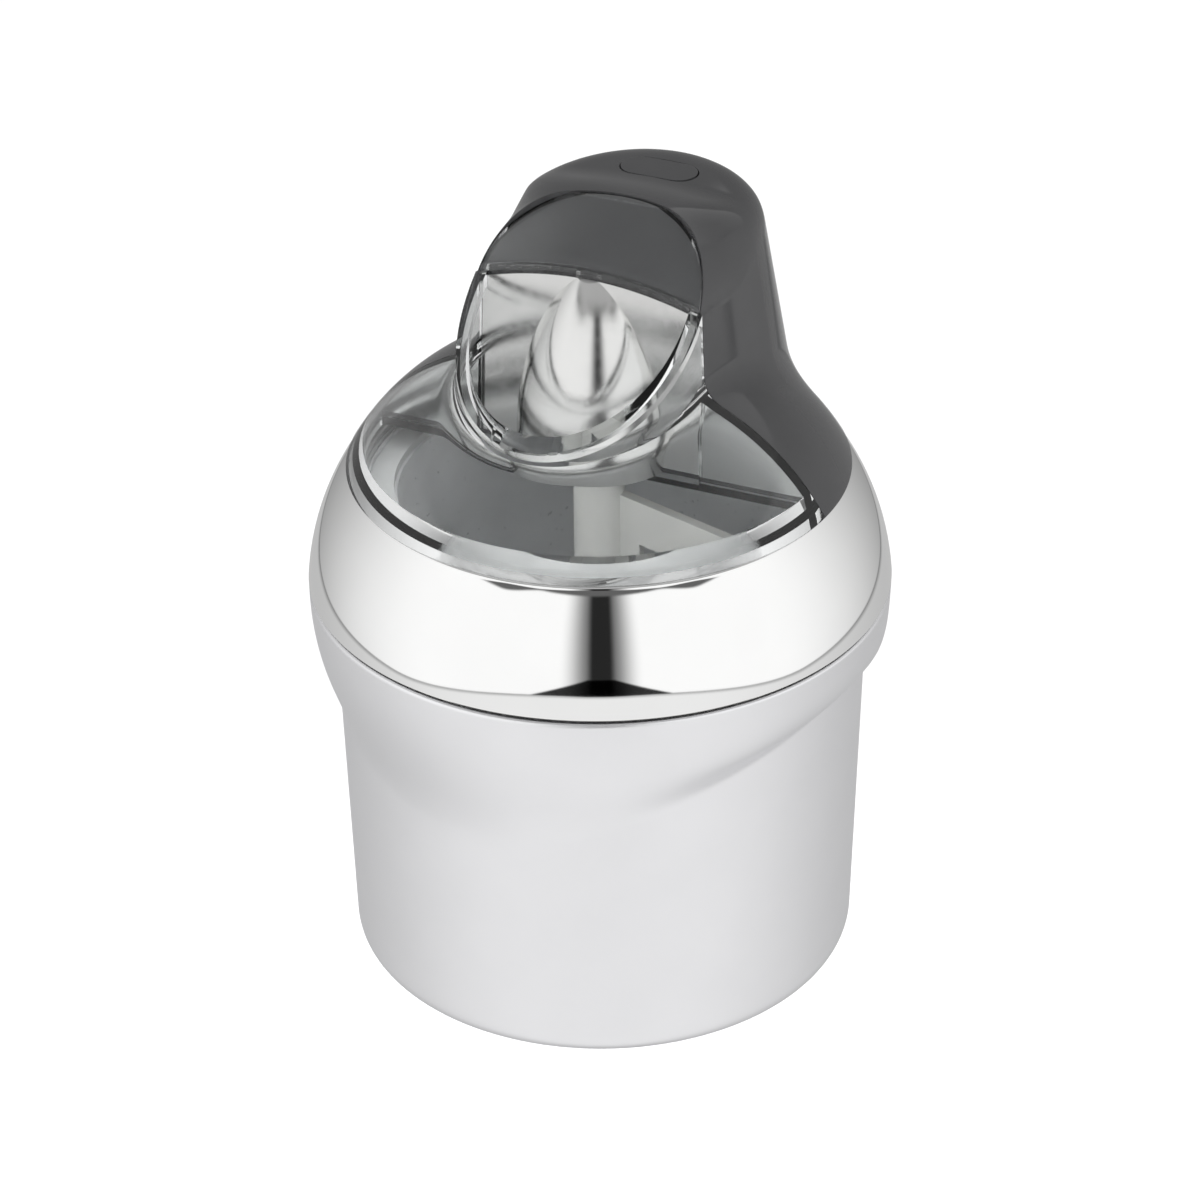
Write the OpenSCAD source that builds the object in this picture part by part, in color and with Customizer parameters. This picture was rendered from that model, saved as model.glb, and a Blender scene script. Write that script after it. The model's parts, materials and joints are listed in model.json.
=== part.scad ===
// Ice cream maker with a removable freezer bowl, a clear lid with a filling chute
// and a lift-off motor unit. Millimetres, +Z up, front is -Y.

/* [Base casing] */
// radius of the bucket just above its bottom rounding
base_r = 91.1; // [80:0.1:100]
// radius the bucket's taper reaches below the flare
taper_r = 94; // [82:0.1:104]
// height at which the taper reaches that radius
taper_z = 110; // [90:1:130]
// rounding at the bottom edge
base_round = 9; // [4:0.5:16]
// lowest face of the casing, above the foot pads
base_z = 1.6; // [1:0.1:4]
// sheet thickness of the casing
casing_t = 2.2; // [1.5:0.1:3]
// height of the seam between casing and bright ring
seam_z = 149.2; // [140:0.1:158]
// direction of the flare edge's high side, degrees from the front towards +X
flare_dir = 129; // [0:1:359]
// tilt of the flare edge
flare_tilt = 10.3; // [0:0.1:20]
// height of the flare edge at the axis
flare_z = 111.6; // [100:0.1:125]

/* [Bright ring] */
// largest radius of the machine, at the seam
ring_r = 102.5; // [95:0.1:110]
// top edge height of the ring
ring_top = 192.45; // [185:0.05:200]
// clear radius of the ring's mouth
mouth_r = 85.8; // [80:0.1:87]

/* [Lid and motor unit outline] */
// radius of the arc that makes the dome
dome_arc = 85; // [70:1:110]
// foot radius of lid and motor unit on the ring
foot_r = 87.1; // [84:0.1:87.3]
// half width of the tower and the chute, at a height of 250
tower_w = 47.3; // [42:0.1:52]
// how much each of their sides widens for every millimetre down
draft = 0.17; // [0:0.01:0.25]
// height of the tower's crowned top, above the ridge point
crown_top = 280.4; // [276:0.1:286]
// rounding along the tower's upper edges
tower_round = 24; // [10:1:30]
// centre of the tower's round back, behind the axis
tower_back = 33; // [25:1:40]
// plane where the clear lid meets the motor unit
split_y = -7; // [-12:0.1:-4]
// wall of the clear lid
clear_t = 2.4; // [1.6:0.1:3]
// wall of the dark shell
shell_t = 2.4; // [1.6:0.1:3]
// slope of the chute's mouth, rise over run
mouth_slope = 0.8; // [0.5:0.01:1]
// slope of the window over the motor unit's face, rise over run
face_slope = 0.45; // [0.3:0.01:0.8]

/* [Freezer bowl] */
// inner radius of the bowl at its rim
bowl_r = 70; // [60:0.5:72]
// height of the bowl's rim
bowl_top = 185; // [175:0.1:186]
// height of the bowl's inner floor
bowl_floor = 54; // [48:0.5:80]

/* [Drive] */
// tooth size of the output gear pair
mod_out = 1.25; // [1:0.05:1.5]
// teeth of the output gear
n_out = 38; // [30:1:40]
// teeth of the pinion that drives it
n_mid = 10; // [8:1:14]
// tooth size of the motor's gear pair
mod_in = 1; // [0.8:0.05:1.2]
// teeth of the wheel beside that pinion
n_wheel = 30; // [24:1:32]
// teeth of the motor's pinion
n_motor = 10; // [8:1:14]
// play between meshing teeth
backlash = 0.45; // [0.4:0.05:0.6]

/* [Hidden] */
$fn = 96;
big = 400;
// dome and ring arcs: centre radius and centre height
dome_c = [14.5, 149.6];
ring_arc = 90.7;
ring_c = [12.1, 141.9];
// point where the mouth and the window meet: y and z
brow = [-7, 267.7];
// radius that both are arched to, seen from the front
brow_arch = 122;
// the tower's crowned top: y of its ridge point, slope and crown radius
ridge_y = 24;
ridge_slope = 0.02;
crown_r = 400;
// height that the tower's rounded edges would reach without the crown
tower_top = crown_top + 8.2;
lean = sqrt(1 + draft*draft);
// pointed arch of the gearbox nose: arc radius, centre radius, centre height
bell_arc = 99.3;
bell_c = [-71.1, 205];
bell_r = 28.2;
nose_y = -10;
win_t = 2.4;
gap = 0.3;
drive_y = (n_out + n_mid)*mod_out/2;
motor_y = drive_y + (n_wheel + n_motor)*mod_in/2;
deck_top = 196.2;
cover_z = 196.5;
cover_top = 198.5;
lid_skirt_r = 82.4;
button_y = 52;
button_top = crown_top + 0.5;
front_y = split_y - 0.4;
seat_w = half_width(256, shell_t) + 0.1;
skirt_t = 2.2;
cover_screws_at = [[66, 22], [48, 58]];
posts_at = [[30, 12], [22, 54]];

// ---- helpers -------------------------------------------------------------------------

module ring(ro, ri, z0, z1) {
  translate([0, 0, z0]) difference() {
    cylinder(r = ro, h = z1 - z0);
    translate([0, 0, -1]) cylinder(r = ri, h = z1 - z0 + 2);
  }
}

module disc(r, z0, z1) {
  translate([0, 0, z0]) cylinder(r = r, h = z1 - z0);
}

module block(x0, x1, y0, y1, z0, z1) {
  translate([x0, y0, z0]) cube([x1 - x0, y1 - y0, z1 - z0]);
}

// everything behind the plane y = y0
module behind(y0) {
  block(-big, big, y0, big, -1, big);
}

// everything in front of the plane y = y0
module before(y0) {
  block(-big, big, -big, y0, -1, big);
}

// everything under the arched face through (y0, z0) that rises backwards with a slope, lowered by d
module under_slope(y0, z0, slope, d) {
  r = brow_arch*sqrt(1 + slope*slope);
  translate([0, y0, z0]) rotate([atan(slope), 0, 0]) translate([0, 0, -r]) rotate([90, 0, 0])
    cylinder(r = r - d, h = big, center = true, $fn = 180);
}

// half width of tower and chute at height z, inset by t
function half_width(z, t) = tower_w - draft*(z - 250) - t*lean;

function turn(p, a) = [p[0]*cos(a) - p[1]*sin(a), p[0]*sin(a) + p[1]*cos(a)];

// straight-flanked gear outline with n teeth of size m, first tooth at angle ph
function gear_points(n, m, ph) = [
  for (i = [0:n - 1], k = [-1, 1], j = (k < 0 ? [0, 1] : [1, 0]))
    let (rp = n*m/2, r = (j == 0 ? rp - 1.2*m : rp + 0.9*m),
      half = PI*m/4 - backlash/2 + (rp - r)*tan(20))
    turn([r, 0], ph + i*360/n + k*half/r*180/PI)];

module gear(n, m, ph, z0, z1, bore) {
  translate([0, 0, z0]) linear_extrude(z1 - z0) difference() {
    polygon(gear_points(n, m, ph));
    circle(r = bore);
  }
}

module screw(x, y, z0, head_r, head_h, r, l) {
  translate([x, y, z0]) {
    difference() {
      cylinder(r = head_r, h = head_h);
      translate([0, 0, -0.1]) cylinder(r = head_r*0.5, h = head_h*0.5, $fn = 6);
    }
    cylinder(r = r, h = head_h + l, $fn = 32);
  }
}

module stadium(l, w) {
  square([l - w, w], center = true);
  for (s = [-1, 1]) translate([s*(l - w)/2, 0]) circle(r = w/2);
}

// ---- base casing ---------------------------------------------------------------------

function taper_at(z) = base_r + (taper_r - base_r)*(z - base_round)/(taper_z - base_round);

// solid half section of the bucket, inset by t
module bucket_section(t) {
  polygon([[0, base_z + t], [base_r - base_round, base_z + t],
    [base_r - t, base_z + base_round], [taper_at(seam_z) - t, seam_z - 1.6],
    [0, seam_z - 1.6]]);
  translate([base_r - base_round, base_z + base_round]) circle(r = base_round - t);
}

// flare that widens the bucket up to the ring
module flare_section() {
  polygon([[88, 88], [taper_at(92), 92], [96.6, 108], [99, 122], [101, 135],
    [ring_r - 0.1, seam_z - 1.6], [88, seam_z - 1.6]]);
}

module above_tilt() {
  rotate([0, 0, flare_dir - 90]) translate([0, 0, flare_z]) rotate([0, -flare_tilt, 0])
    translate([-big/2, -big/2, 0]) cube([big, big, big]);
}

module outer_casing() {
  color([0.83, 0.84, 0.85]) difference() {
    union() {
      rotate_extrude() intersection() {
        bucket_section(0);
        translate([0, 0]) square([200, 200]);
      }
      intersection() {
        rotate_extrude() flare_section();
        above_tilt();
      }
      disc(ring_r - 1.2, seam_z - 1.7, seam_z);
    }
    rotate_extrude() intersection() {
      bucket_section(casing_t);
      square([200, 200]);
    }
    translate([0, 0, -1]) cylinder(r = 74, h = 10);
    disc(98.6, seam_z - 1.6, seam_z + 1);
    disc(taper_at(seam_z) - casing_t, seam_z - 5, seam_z + 1);
  }
}

module rim_ring() {
  color([0.93, 0.93, 0.94]) rotate_extrude() intersection() {
    difference() {
      translate(ring_c) circle(r = ring_arc, $fn = 180);
      translate(ring_c) circle(r = ring_arc - casing_t, $fn = 180);
    }
    translate([mouth_r, seam_z]) square([50, ring_top - seam_z]);
  }
}

module liner() {
  color([0.25, 0.25, 0.27]) difference() {
    union() {
      disc(88.2, 32, seam_z);
      ring(98.4, 80, seam_z - 1.6, seam_z);
      for (a = [45:90:315]) rotate([0, 0, a]) translate([45, 0, 5.6]) cylinder(r = 4.5, h = 27);
    }
    disc(86.4, 34, seam_z + 1);
    for (a = [45:90:315]) rotate([0, 0, a]) translate([45, 0, 5]) cylinder(r = 1.55, h = 18);
  }
}

module insulation_sleeve() {
  color([0.95, 0.95, 0.9]) ring(89.3, 88.2, 36, 140);
}

module base_plate() {
  color([0.12, 0.12, 0.13]) difference() {
    union() {
      disc(73.8, base_z, 5.6);
      disc(77.5, base_z + casing_t, 5.6);
    }
    for (a = [45:90:315]) rotate([0, 0, a]) {
      translate([45, 0, 1]) cylinder(r = 1.7, h = 6);
      translate([45, 0, 1]) cylinder(r = 3.4, h = 2.8);
      translate([63, 0, 1]) cylinder(r = 7.2, h = 1.6);
    }
  }
}

module foot_pads() {
  color([0.08, 0.08, 0.08]) for (a = [45:90:315]) rotate([0, 0, a])
    translate([63, 0, 0]) cylinder(r = 7.1, h = 2.6);
}

module base_screws() {
  color([0.7, 0.7, 0.72]) for (a = [45:90:315]) rotate([0, 0, a])
    screw(45, 0, 1.8, 3.1, 2, 1.5, 16);
}

// ---- freezer bowl --------------------------------------------------------------------

module bowl_inner() {
  color([0.8, 0.81, 0.83]) difference() {
    union() {
      rotate_extrude() polygon([[0, bowl_floor - 1.5], [bowl_r - 0.5, bowl_floor - 1.5],
        [bowl_r + 1.5, bowl_top - 3], [0, bowl_top - 3]]);
      ring(bowl_r + 7, bowl_r - 2, bowl_top - 4.5, bowl_top - 3);
    }
    rotate_extrude() polygon([[0, bowl_floor], [bowl_r - 2, bowl_floor],
      [bowl_r, bowl_top], [0, bowl_top]]);
  }
  color([0.8, 0.81, 0.83]) disc(4, bowl_floor - 0.5, bowl_floor + 2);
}

module bowl_outer() {
  color([0.86, 0.86, 0.87]) difference() {
    rotate_extrude() {
      polygon([[0, 34.3], [75, 34.3], [81, 40.3], [83, bowl_top - 6.5], [0, bowl_top - 6.5]]);
      translate([75, 40.3]) intersection() {
        circle(r = 6);
        translate([0, -10]) square([10, 10]);
      }
    }
    rotate_extrude() polygon([[0, 36.2], [75, 36.2], [79.2, 40.8], [81.2, bowl_top], [0, bowl_top]]);
    disc(6, 30, 40);
  }
}

module bowl_rim() {
  color([0.9, 0.9, 0.9]) difference() {
    union() {
      ring(85, bowl_r + 1, bowl_top - 3, bowl_top);
      ring(85, 83, bowl_top - 9, bowl_top - 3);
      ring(83, 79, bowl_top - 6.5, bowl_top - 3);
    }
  }
}

module bowl_gasket() {
  color([0.2, 0.2, 0.22]) ring(79, bowl_r + 4.5, bowl_top - 6.5, bowl_top - 4.5);
}

module coolant() {
  color([0.45, 0.65, 0.9]) difference() {
    rotate_extrude() polygon([[0, 38], [74, 38], [78, 42], [80, 172], [0, 172]]);
    rotate_extrude() polygon([[0, bowl_floor - 2], [bowl_r, bowl_floor - 2],
      [bowl_r + 2, bowl_top], [0, bowl_top]]);
    disc(9, 30, 42.2);
  }
}

module bowl_plug() {
  color([0.2, 0.2, 0.22]) {
    disc(6, 34.8, 36.2);
    disc(8.4, 36.2, 39);
  }
}

// ---- clear lid -----------------------------------------------------------------------

// solid dome of foot radius r, inset by t, from height z0 up
module dome(t, z0, r = foot_r) {
  rotate_extrude() intersection() {
    translate(dome_c) circle(r = dome_arc - t, $fn = 180);
    translate([0, z0]) square([r - t, 60]);
  }
}

// chute outline, inset by t, between two heights
module nose(t, z0, z1) {
  tapered(nose_y, -1, half_width(z0, t), half_width(z1, t), z0, z1);
}

// tapered block from y = y_flat to a round end about y = y_round, half widths w0 below and w1 above
module tapered(y_round, y_flat, w0, w1, z0, z1) {
  translate([0, y_round, z0]) cylinder(r1 = w0 + 0.2, r2 = w1 + 0.2, h = z1 - z0);
  translate([0, max(y_round, y_flat), 0]) rotate([90, 0, 0]) linear_extrude(abs(y_flat - y_round))
    polygon([[-w0, z0], [w0, z0], [w1, z1], [-w1, z1]]);
}

module lid_shell() {
  color([0.85, 0.9, 0.93, 0.4]) {
    difference() {
      union() {
        intersection() {
          union() {
            dome(0, 192.75);
            disc(foot_r, 192.75, 196.5);
            intersection() {
              nose(0, 196.5, 270);
              under_slope(brow[0], brow[1], mouth_slope, 0);
            }
          }
          before(front_y);
        }
        disc(lid_skirt_r, 186.5, deck_top);
        for (a = [20:90:290]) rotate([0, 0, a])
          block(lid_skirt_r - 1, 85.1, -7, 7, 187, 189);
      }
      // hollow under the front dome, straight-sided above the thick foot
      intersection() {
        dome(clear_t, 193, lid_skirt_r - skirt_t + clear_t);
        before(front_y - clear_t);
      }
      disc(lid_skirt_r - skirt_t, 180, 194);
      // hollow of the chute, with a thicker lip at its mouth
      nose(4.4, deck_top, 300);
      intersection() {
        nose(clear_t, deck_top, 300);
        under_slope(brow[0], brow[1], mouth_slope, 4.5);
      }
      disc(13, 190, 200);
    }
    // island that carries the bush
    difference() {
      disc(31, 194, deck_top);
      disc(13, 190, 200);
      behind(front_y - clear_t);
    }
  }
}

module lid_bush() {
  color([0.95, 0.95, 0.95]) {
    ring(13, 11.05, 194, deck_top);
    ring(16, 11.05, 192.6, 194);
  }
}

module lid_seal() {
  color([0.75, 0.75, 0.75]) ring(lid_skirt_r, 79.4, 185.2, 186.5);
}

// ---- paddle --------------------------------------------------------------------------

module paddle_hub() {
  color([0.94, 0.94, 0.93]) difference() {
    union() {
      disc(9, 57, 191);
      disc(15, 189.9, 192.3);
      disc(11, 190, deck_top - 0.2);
    }
    block(-3.85, 3.85, -3.85, 3.85, 183, 200);
  }
}

module paddle_blade() {
  color([0.94, 0.94, 0.93]) difference() {
    translate([0, 2, 0]) rotate([90, 0, 0]) linear_extrude(4) difference() {
      union() {
        polygon([[0, 57], [62, 57], [62, 165], [56, 171], [0, 183]]);
        polygon([[0, 57], [-62, 57], [-62, 115], [-56, 121], [0, 108]]);
      }
      polygon([[16, 68], [51, 68], [16, 112]]);
      polygon([[52, 80], [52, 155], [16, 163], [16, 124]]);
      polygon([[-16, 68], [-52, 68], [-52, 106], [-16, 98]]);
    }
    disc(9, 50, 200);
  }
}

module paddle_scraper() {
  color([0.6, 0.62, 0.65]) {
    block(62, 66, -1, 1, 57, 165);
    block(-66, -62, -1, 1, 57, 115);
  }
}

// ---- motor unit ----------------------------------------------------------------------

module tower_profile(t, z0) {
  r = tower_round - t;
  cz = tower_top - tower_round;
  cx = half_width(cz, t) - r*lean;
  foot = half_width(z0, t);
  polygon([[-foot, z0], [foot, z0], [cx + r/lean, cz + r*draft/lean], [cx, cz], [cx, cz + r],
    [-cx, cz + r], [-cx, cz], [-cx - r/lean, cz + r*draft/lean]]);
  for (s = [-1, 1]) translate([s*cx, cz]) circle(r = r);
}

// crowned upper limit of the tower, inset by t
module crown(t) {
  translate([0, ridge_y, crown_top]) rotate([atan(ridge_slope), 0, 0])
    translate([0, 0, -crown_r]) rotate([90, 0, 0])
      cylinder(r = crown_r - t, h = big, center = true, $fn = 360);
}

// straight front half and round back of the tower, inset by t
module tower(t, z0) {
  intersection() {
    translate([0, tower_back, 0]) union() {
      rotate([90, 0, 0]) linear_extrude(tower_back + 20) tower_profile(t, z0);
      rotate_extrude() intersection() {
        tower_profile(t, z0);
        square([big, big]);
      }
    }
    crown(t);
  }
}

module motor_housing() {
  color([0.27, 0.27, 0.28]) {
    difference() {
      intersection() {
        union() {
          tower(0, 193);
          dome(0, 192.75);
          disc(foot_r, 192.75, 197);
        }
        behind(split_y);
        under_slope(brow[0], brow[1], face_slope, win_t + gap);
      }
      intersection() {
        union() {
          tapered(tower_back, -20, half_width(190, shell_t), half_width(266, shell_t), 190, 266);
          tapered(tower_back, -20, half_width(266, shell_t), 35.5, 266, crown_top - 3);
        }
        under_slope(brow[0], brow[1], face_slope, win_t + gap + shell_t);
      }
      dome(shell_t, cover_top);
      disc(83, 190, cover_top + 0.1);
      // seat of the front plate
      block(-seat_w, seat_w, -20, split_y + shell_t, 190, brow[1] + 5);
      // holes for the power button and the cable gland
      translate([0, button_y, button_top - 8]) linear_extrude(20) stadium(28.8, 14.8);
      translate([0, 60, 222]) rotate([-90, 0, 0]) cylinder(r = 5, h = 40);
    }
    // screw bosses
    difference() {
      intersection() {
        for (p = cover_screws_at, s = [-1, 1]) translate([s*p[0], p[1], cover_top])
          cylinder(r = 4, h = 16);
        dome(1, 190);
      }
      for (p = cover_screws_at, s = [-1, 1]) translate([s*p[0], p[1], 190])
        cylinder(r = 1.4, h = 13.2, $fn = 32);
    }
  }
}

module face_window() {
  color([0.85, 0.9, 0.93, 0.4]) difference() {
    intersection() {
      tower(0, 193);
      behind(split_y);
      under_slope(brow[0], brow[1], face_slope, 0);
    }
    under_slope(brow[0], brow[1], face_slope, win_t);
  }
}

module bell(t, z0) {
  rotate_extrude() {
    intersection() {
      translate(bell_c) circle(r = bell_arc - t, $fn = 180);
      translate([0, bell_c[1]]) square([50, 90]);
    }
    translate([0, z0]) square([bell_r - t, bell_c[1] - z0]);
  }
}

module front_plate() {
  color([0.8, 0.8, 0.81]) difference() {
    intersection() {
      union() {
        intersection() {
          block(-foot_r, foot_r, split_y + 0.1, split_y + 2.3, cover_top, brow[1]);
          union() {
            tower(shell_t + 0.1, 190);
            dome(shell_t + 0.1, 190);
          }
        }
        intersection() {
          union() {
            bell(0, 196.8);
            disc(30, 196.8, 198.4);
          }
          before(split_y + 0.2);
        }
      }
      under_slope(brow[0], brow[1], face_slope, win_t + gap);
    }
    bell(2, 190);
  }
}

module under_cover() {
  color([0.2, 0.2, 0.21]) difference() {
    union() {
      intersection() {
        disc(82.6, cover_z, cover_top);
        behind(split_y + 0.2);
      }
      disc(26, cover_z, cover_top);
      for (p = posts_at, s = [-1, 1]) translate([s*p[0], p[1], cover_z])
        cylinder(r = 4, h = 216 - cover_z);
    }
    disc(8, 190, 199);
    translate([0, drive_y, 190]) cylinder(r = 2.5, h = 20);
    for (p = cover_screws_at, s = [-1, 1]) translate([s*p[0], p[1], 190]) {
      cylinder(r = 1.5, h = 20);
      cylinder(r = 3.1, h = cover_z + 1.2 - 190);
    }
    for (p = posts_at, s = [-1, 1]) translate([s*p[0], p[1], 206])
      cylinder(r = 1.25, h = 20, $fn = 32);
  }
}

module cover_screws() {
  color([0.7, 0.7, 0.72]) for (p = cover_screws_at, s = [-1, 1])
    screw(s*p[0], p[1], cover_z + 0.1, 3, 1.1, 1.4, 5);
}

module output_bearing() {
  color([0.8, 0.62, 0.35]) {
    ring(8, 4.55, cover_z + 0.1, cover_top);
    ring(10, 4.55, cover_top, 201.6);
  }
}

module gear_plate() {
  color([0.72, 0.73, 0.75]) difference() {
    union() {
      block(-34, 34, split_y + 2.5, tower_back, 216, 218);
      translate([0, tower_back, 216]) cylinder(r = 34, h = 2);
      disc(12, 216, 218);
    }
    disc(4.55, 210, 220);
    translate([0, drive_y, 210]) cylinder(r = 2.5, h = 20);
    translate([0, motor_y, 210]) cylinder(r = 5, h = 20);
    for (p = posts_at, s = [-1, 1]) translate([s*p[0], p[1], 210])
      cylinder(r = 1.3, h = 20, $fn = 32);
  }
}

module plate_screws() {
  color([0.7, 0.7, 0.72]) for (p = posts_at, s = [-1, 1])
    translate([s*p[0], p[1], 218]) mirror([0, 0, 1]) translate([0, 0, -1.8])
      screw(0, 0, 0, 2.8, 1.8, 1.25, 10);
}

module output_gear() {
  color([0.93, 0.92, 0.86]) gear(n_out, mod_out, 0, 202, 209, 4.5);
}

module output_shaft() {
  color([0.75, 0.76, 0.78]) {
    disc(4.5, 196, 218.6);
    block(-3.55, 3.55, -3.55, 3.55, 184, 196.2);
  }
}

module idler_gear() {
  color([0.93, 0.92, 0.86]) translate([0, drive_y, 0]) difference() {
    union() {
      disc(4.5, cover_top + gap, 215.7);
      gear(n_mid, mod_out, 18, 202, 210, 2.55);
      gear(n_wheel, mod_in, 0, 210, 214, 2.55);
    }
    disc(2.55, 190, 220);
  }
}

module idler_pin() {
  color([0.75, 0.76, 0.78]) translate([0, drive_y, 0]) disc(2.5, cover_z + 0.1, 218);
}

module motor_can() {
  color([0.62, 0.63, 0.65]) translate([0, motor_y, 0]) difference() {
    disc(16, 218, 258);
    disc(14.6, 219.6, 260);
    disc(1.55, 200, 230);
  }
}

module motor_cap() {
  color([0.15, 0.15, 0.16]) translate([0, motor_y, 0]) difference() {
    union() {
      disc(16, 258, 261);
      disc(14.6, 255.5, 258);
    }
    disc(1.55, 250, 259.8);
  }
}

module motor_magnets() {
  color([0.3, 0.3, 0.32]) translate([0, motor_y, 0]) difference() {
    ring(14.6, 11.8, 224, 250);
    for (s = [-1, 1]) block(s*14 - 4, s*14 + 4, -3, 3, 220, 255);
  }
}

module armature_shaft() {
  color([0.8, 0.8, 0.82]) translate([0, motor_y, 0]) disc(1.5, 209.6, 259.4);
}

module armature_core() {
  color([0.72, 0.45, 0.25]) translate([0, motor_y, 0]) difference() {
    union() {
      ring(11.3, 1.5, 226, 248);
      ring(5, 1.5, 248, 254);
    }
    for (a = [0:60:300]) rotate([0, 0, a]) block(9, 13, -1.2, 1.2, 220, 249);
  }
}

module motor_pinion() {
  color([0.85, 0.7, 0.4]) translate([0, motor_y, 0])
    gear(n_motor, mod_in, 18, 210.2, 214, 1.5);
}

module power_switch() {
  color([0.1, 0.1, 0.1]) difference() {
    block(-10, 10, button_y - 6, button_y + 6, 261, 267);
    translate([0, button_y, 0]) disc(3.6, 264.2, 267.1);
  }
}

module power_button() {
  color([0.22, 0.22, 0.23]) translate([0, button_y, 0]) {
    translate([0, 0, button_top - 4]) linear_extrude(4) stadium(28, 14);
    translate([0, 0, button_top - 5.6]) linear_extrude(1.6) stadium(30.4, 16.4);
    disc(3, 267.3, button_top - 5.6);
  }
}

// coil of round wire standing on z = 0
module coil(r, wire, h, turns, steps, sides) {
  n = turns*steps;
  points = [for (i = [0:n], k = [0:sides - 1])
    let (a = i*360/steps, q = r + wire*cos(k*360/sides))
    [q*cos(a), q*sin(a), wire + (h - 2*wire)*i/n + wire*sin(k*360/sides)]];
  walls = [for (i = [0:n - 1], k = [0:sides - 1]) let (m = (k + 1) % sides)
    [i*sides + k, i*sides + m, (i + 1)*sides + m, (i + 1)*sides + k]];
  start = [for (k = [sides - 1:-1:0]) k];
  end = [for (k = [0:sides - 1]) n*sides + k];
  polyhedron(points = points, faces = concat([start, end], walls));
}

module button_spring() {
  color([0.8, 0.8, 0.82]) translate([0, button_y, 267.2]) coil(4.6, 0.5, 8, 5, 14, 6);
}

module cord_gland() {
  color([0.1, 0.1, 0.1]) translate([0, 0, 222]) rotate([-90, 0, 0]) ring(5, 3, 73, 88);
}

outer_casing();
rim_ring();
liner();
insulation_sleeve();
base_plate();
foot_pads();
base_screws();
bowl_inner();
bowl_outer();
bowl_rim();
bowl_gasket();
coolant();
bowl_plug();
lid_shell();
lid_bush();
lid_seal();
paddle_hub();
paddle_blade();
paddle_scraper();
motor_housing();
face_window();
front_plate();
under_cover();
cover_screws();
output_bearing();
gear_plate();
plate_screws();
output_gear();
output_shaft();
idler_gear();
idler_pin();
motor_can();
motor_cap();
motor_magnets();
armature_shaft();
armature_core();
motor_pinion();
power_switch();
power_button();
button_spring();
cord_gland();
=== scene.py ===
"""Looks of the ice cream maker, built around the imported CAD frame. Metres, +Z up, front is -Y."""
import json
import math

import bmesh
import bpy
import numpy as np
from mathutils import Matrix, Vector


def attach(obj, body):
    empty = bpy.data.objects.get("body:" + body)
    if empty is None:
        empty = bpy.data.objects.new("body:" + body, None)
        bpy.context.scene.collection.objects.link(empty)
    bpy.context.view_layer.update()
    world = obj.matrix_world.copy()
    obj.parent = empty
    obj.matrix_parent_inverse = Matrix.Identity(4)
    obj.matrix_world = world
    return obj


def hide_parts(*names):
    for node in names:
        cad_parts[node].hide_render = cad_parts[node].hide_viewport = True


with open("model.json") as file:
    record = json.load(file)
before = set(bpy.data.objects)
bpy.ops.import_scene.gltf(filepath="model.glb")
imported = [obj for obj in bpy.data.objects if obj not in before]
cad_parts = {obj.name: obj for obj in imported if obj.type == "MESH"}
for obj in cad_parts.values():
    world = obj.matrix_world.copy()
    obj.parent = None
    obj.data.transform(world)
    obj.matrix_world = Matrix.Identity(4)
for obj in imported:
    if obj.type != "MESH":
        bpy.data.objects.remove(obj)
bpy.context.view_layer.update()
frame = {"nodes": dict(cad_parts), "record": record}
NODES = frame["nodes"]

# ---- viewpoint of the photograph -------------------------------------------------------
CAM_AZIMUTH = 25.0  # degrees from the front (-Y) towards +X
CAM_ELEVATION = 30.68
CAM_ROLL = -0.646
CAM_DISTANCE = 1.5
CAM_AIM = Vector((-0.00016, -0.00008, 0.1356))
FOCAL_PX = 4241.27  # for a frame 1200 px wide
FRAME_PX = 1200
SENSOR_MM = 36.0
TABLE_EDGE = (-11.0, -21.0)  # how far below level the table ends, ahead and at the sides
CEILING = 0.4  # brightness straight above

# ---- materials -------------------------------------------------------------------------


def new_material(name):
    """An empty node material and its principled shader."""
    mat = bpy.data.materials.new(name)
    mat.use_nodes = True
    return mat, mat.node_tree.nodes["Principled BSDF"]


def link(mat, a, b):
    mat.node_tree.links.new(a, b)


def node(mat, kind, **values):
    """A shader node with its inputs set by name."""
    made = mat.node_tree.nodes.new(kind)
    for key, value in values.items():
        if key in made.inputs:
            made.inputs[key].default_value = value
        else:
            setattr(made, key, value)
    return made


def noise(mat, scale, detail=4.0, stretch=(1, 1, 1), roughness=0.5):
    """Noise in object space, in cycles a metre."""
    coords = node(mat, "ShaderNodeTexCoord")
    mapping = node(mat, "ShaderNodeMapping")
    mapping.inputs["Scale"].default_value = stretch
    tex = node(mat, "ShaderNodeTexNoise", Scale=scale, Detail=detail, Roughness=roughness)
    link(mat, coords.outputs["Object"], mapping.inputs["Vector"])
    link(mat, mapping.outputs["Vector"], tex.inputs["Vector"])
    return tex.outputs["Fac"]


def ramp(mat, value, low, high, at=(0.3, 0.7)):
    """value mapped from colour low to colour high."""
    made = node(mat, "ShaderNodeValToRGB")
    elements = made.color_ramp.elements
    for element, place, colour in zip(elements, at, (low, high)):
        element.position = place
        element.color = (*colour, 1) if len(colour) == 3 else colour
    link(mat, value, made.inputs["Fac"])
    return made.outputs["Color"]


def spread(mat, value, low, high, at=(0.3, 0.7)):
    """value mapped from number low to number high."""
    made = node(mat, "ShaderNodeMapRange")
    for key, number in zip(("From Min", "From Max", "To Min", "To Max"), (*at, low, high)):
        made.inputs[key].default_value = number
    link(mat, value, made.inputs["Value"])
    return made.outputs["Result"]


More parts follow.
